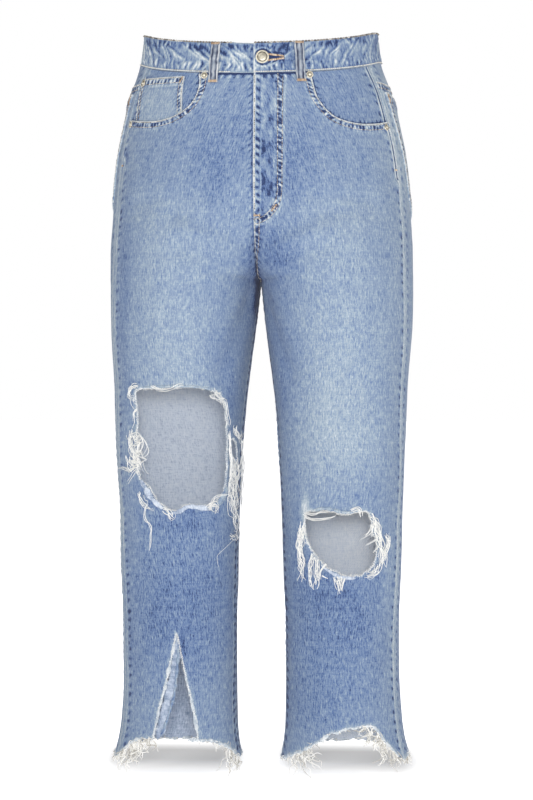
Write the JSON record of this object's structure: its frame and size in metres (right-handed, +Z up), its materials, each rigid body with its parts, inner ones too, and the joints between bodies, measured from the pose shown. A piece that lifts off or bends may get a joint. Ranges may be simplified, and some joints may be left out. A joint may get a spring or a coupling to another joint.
{
  "type": "ripped jeans",
  "caption": "Straight-leg denim jeans with a high waist, torn knees and raw, frayed, arched hems, filled out as worn with open waist and legs.",
  "frame": {"origin": "middle of the waist, level with the middle of the waistband at its sides, where the wearer's waist holds the jeans up", "axes": "+Z up the body, -Y to the front, +X to the wearer's left"},
  "size_m": [0.393, 0.2551, 0.963],
  "materials": {
    "denim": "stonewashed blue twill, matt, faded on the thighs",
    "belt_loop_denim": "paler worn twill with stitched edges",
    "frayed_thread": "loose off-white cotton threads",
    "stitching": "tan cotton topstitching thread",
    "brass": "pale antique brass, softly polished"
  },
  "bodies": {
    "root": {"back_left": "denim", "back_pocket_left": "denim", "back_pocket_right": "denim", "back_right": "denim", "belt_loop_back": "belt_loop_denim", "belt_loop_front_left": "belt_loop_denim", "belt_loop_front_right": "belt_loop_denim", "belt_loop_side_left": "belt_loop_denim", "belt_loop_side_right": "belt_loop_denim", "button": "brass", "coin_pocket": "denim", "fly": "denim", "front_left": "denim", "front_right": "denim", "hem_fringe_left": "frayed_thread", "hem_fringe_right": "frayed_thread", "pocket_facing_left": "denim", "pocket_facing_right": "denim", "rivet_1": "brass", "rivet_2": "brass", "rivet_3": "brass", "rivet_4": "brass", "rivet_5": "brass", "waistband": "denim", "yoke_left": "denim", "yoke_right": "denim"}
  },
  "joints": []
}
